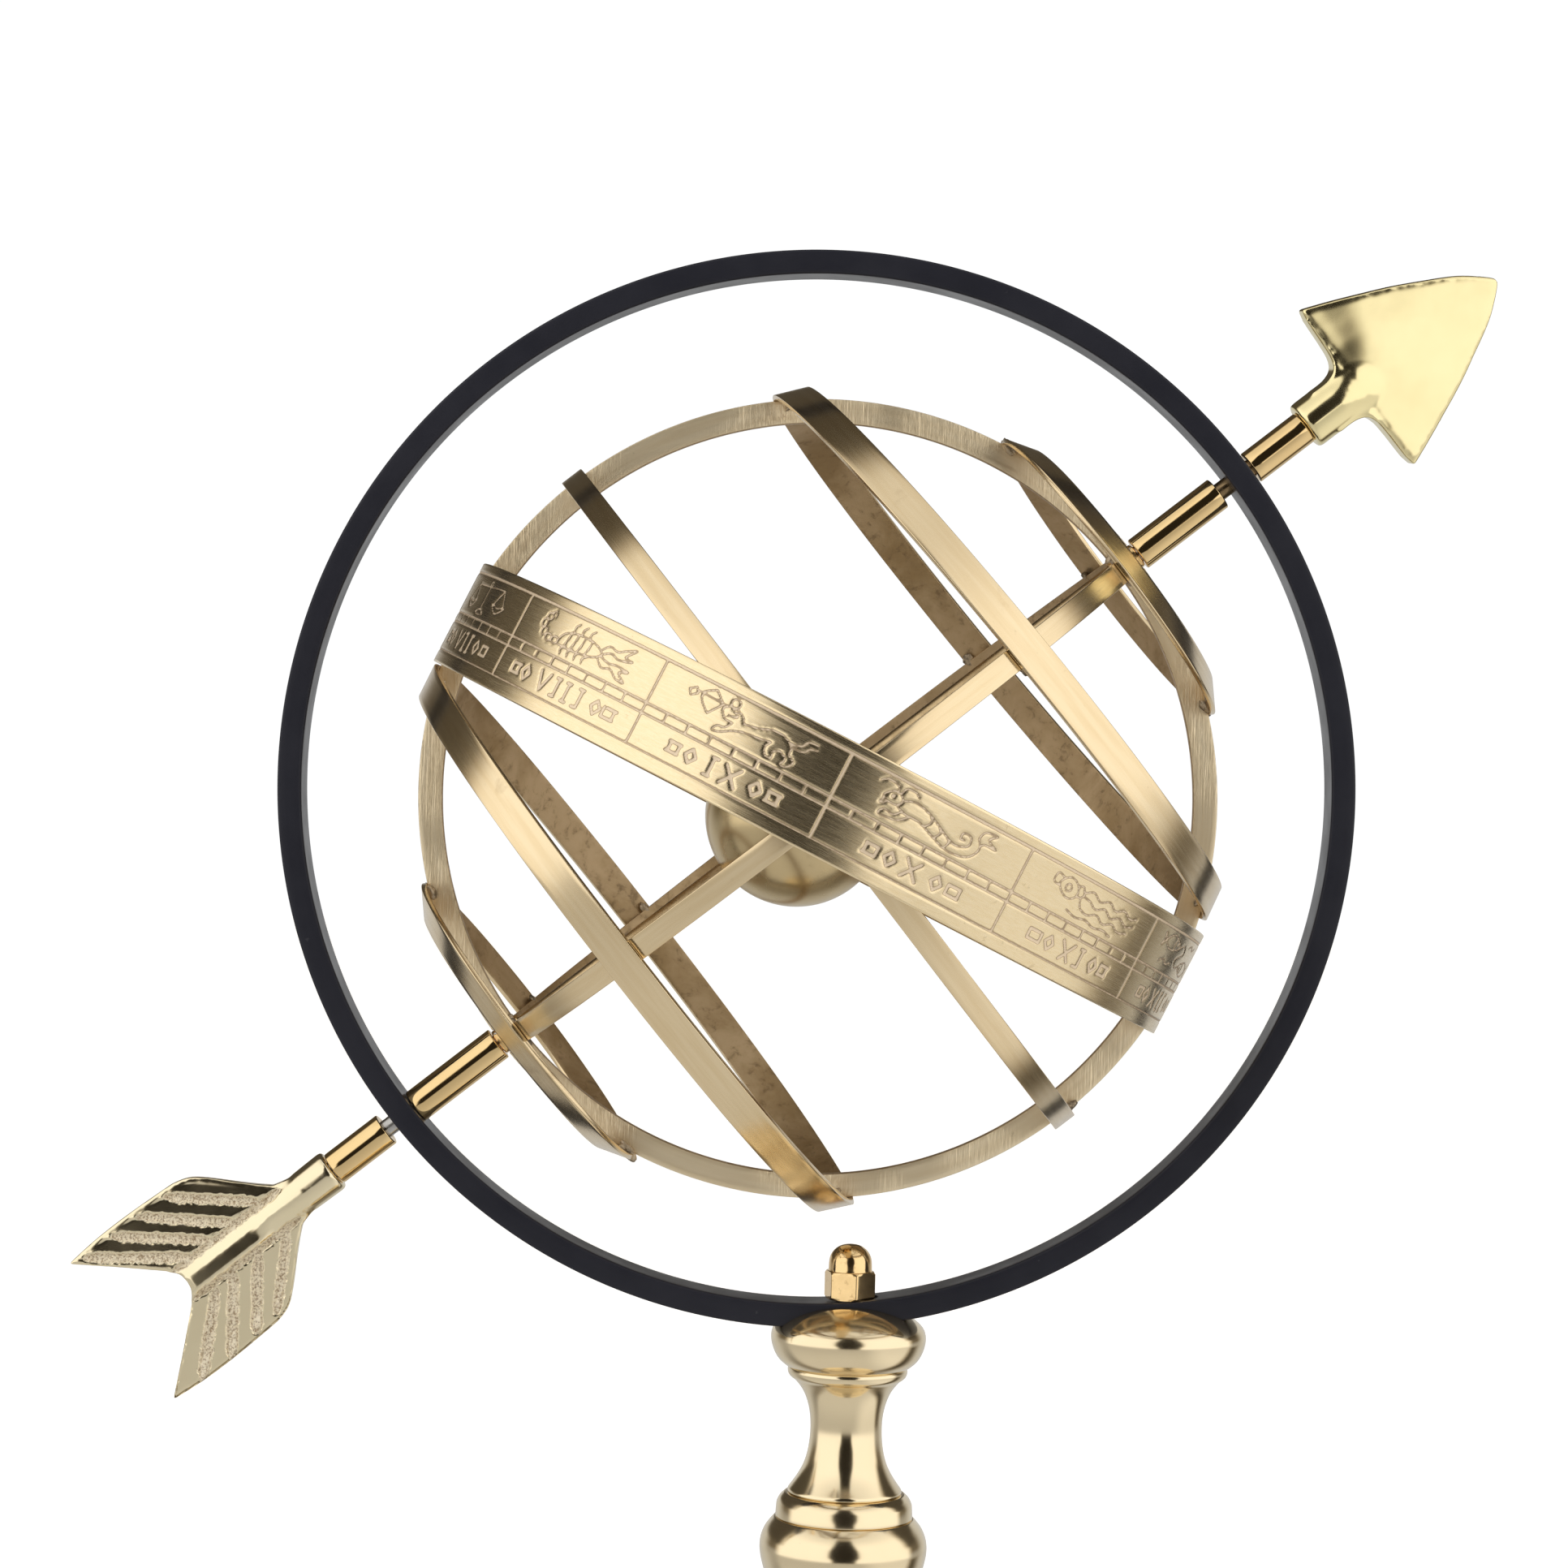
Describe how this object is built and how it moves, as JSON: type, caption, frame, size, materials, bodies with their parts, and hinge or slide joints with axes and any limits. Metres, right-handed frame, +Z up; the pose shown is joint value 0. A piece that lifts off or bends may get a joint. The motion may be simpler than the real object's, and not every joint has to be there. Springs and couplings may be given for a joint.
{
  "type": "armillary sphere",
  "caption": "Desk armillary sphere: brass hoop cage with an engraved ecliptic band on an arrow-shaped polar axle, in a black ring on a turned brass column.",
  "frame": {"origin": "centre of the felt pad's underside, on the column axis", "axes": "+Z up the column; -Y is the front, with the ring seen face on; the polar axle rises towards +X with the arrow head at its upper end"},
  "size_m": [0.3992, 0.2333, 0.4975],
  "materials": {
    "black_steel": "satin black",
    "polished_brass": "polished, lacquered",
    "tube_brass": "mirror polished",
    "cast_brass": "polished sand casting",
    "satin_brass": "satin",
    "brushed_brass": "brushed lengthwise, light patina",
    "engraved_brass": "brushed, with etched matte line work",
    "plated_steel": "brass plated steel",
    "felt": "dark green felt"
  },
  "bodies": {
    "column": {"base_pad": "felt", "base_foot": "polished_brass", "base_collar": "polished_brass", "column_stem": "polished_brass", "column_lower_ring": "polished_brass", "column_bulb": "polished_brass", "column_step_ring": "polished_brass", "column_neck": "polished_brass", "tie_stud": "plated_steel", "base_washer": "plated_steel", "base_nut": "plated_steel"},
    "ring": {"outer_ring": "black_steel", "saddle_head": "polished_brass"},
    "cap": {"cap_nut": "tube_brass"},
    "spacers": {"head_inner_tube": "tube_brass", "head_outer_tube": "tube_brass", "tail_inner_tube": "tube_brass", "tail_outer_tube": "tube_brass"},
    "arrow": {"axle_rod": "plated_steel", "arrow_head": "cast_brass", "arrow_tail": "cast_brass", "globe_ball": "satin_brass"},
    "cage": {"meridian_half_upper": "brushed_brass", "meridian_half_lower": "brushed_brass", "pole_bush_north": "brushed_brass", "pole_bush_south": "brushed_brass", "colure_front": "brushed_brass", "colure_back": "brushed_brass", "equator_hoop": "brushed_brass", "capricorn_hoop": "brushed_brass", "cancer_hoop": "brushed_brass", "arctic_hoop": "brushed_brass", "antarctic_hoop": "brushed_brass", "zodiac_band": "engraved_brass"}
  },
  "joints": [
    {"name": "head_swivel", "type": "hinge", "parent": "column", "child": "ring", "pos_m": [0, 0, 0.181], "axis": [0, 0, 1], "continuous": true},
    {"name": "cap_nut_turn", "type": "hinge", "parent": "ring", "child": "cap", "pos_m": [0, 0, 0.2001], "axis": [0, 0, 1], "range_deg": [0, 180]},
    {"name": "axle_float", "type": "slide", "parent": "ring", "child": "spacers", "axis": [0.7782, 0, 0.628], "range_m": [0, 0.0032]},
    {"name": "arrow_turn", "type": "hinge", "parent": "spacers", "child": "arrow", "pos_m": [-0.01272, 0, 0.34226], "axis": [0.7782, 0, 0.628], "continuous": true},
    {"name": "sphere_turn", "type": "hinge", "parent": "arrow", "child": "cage", "pos_m": [-0.01272, 0, 0.34226], "axis": [0.7782, 0, 0.628], "continuous": true}
  ]
}
